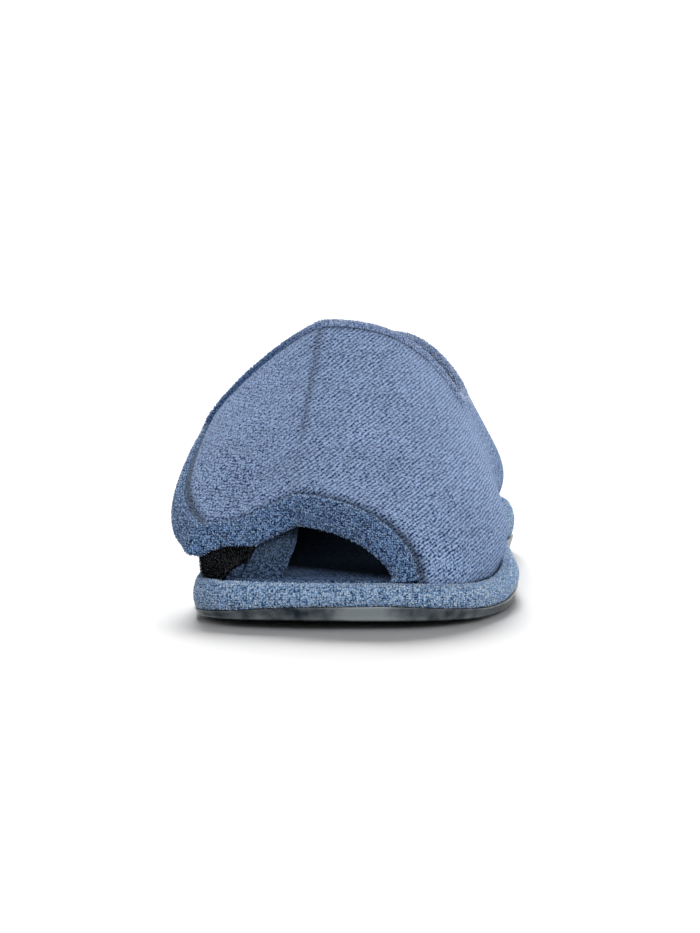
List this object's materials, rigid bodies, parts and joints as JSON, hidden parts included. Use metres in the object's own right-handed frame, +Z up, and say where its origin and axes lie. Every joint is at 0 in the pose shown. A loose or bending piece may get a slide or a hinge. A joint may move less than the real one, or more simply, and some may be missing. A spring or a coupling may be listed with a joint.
{
  "type": "slipper",
  "caption": "Open-toe wrap slipper in terry cloth: a wide flap folds over the instep to a hook pad on the inner side, with a closed heel, rolled edges and a rubber sole.",
  "frame": {"origin": "middle of the footprint's bounding box, on the floor", "axes": "+Y from toe to heel, +X to the outer side of the left foot, +Z up"},
  "size_m": [0.119, 0.268, 0.0935],
  "materials": {
    "grey_rubber": "satin moulded rubber",
    "terry_roll": "coarse terry loops",
    "terry_sock": "short terry loops",
    "terry_knit": "fine ribbed terry knit",
    "terry_binding": "coarse terry loops",
    "hook_tape": "matt hook tape"
  },
  "bodies": {
    "root": {"outsole": "grey_rubber", "platform": "terry_roll", "insole": "terry_sock", "upper": "terry_knit", "flap_binding": "terry_binding", "collar_binding": "terry_binding", "hook_pad": "hook_tape"}
  },
  "joints": []
}
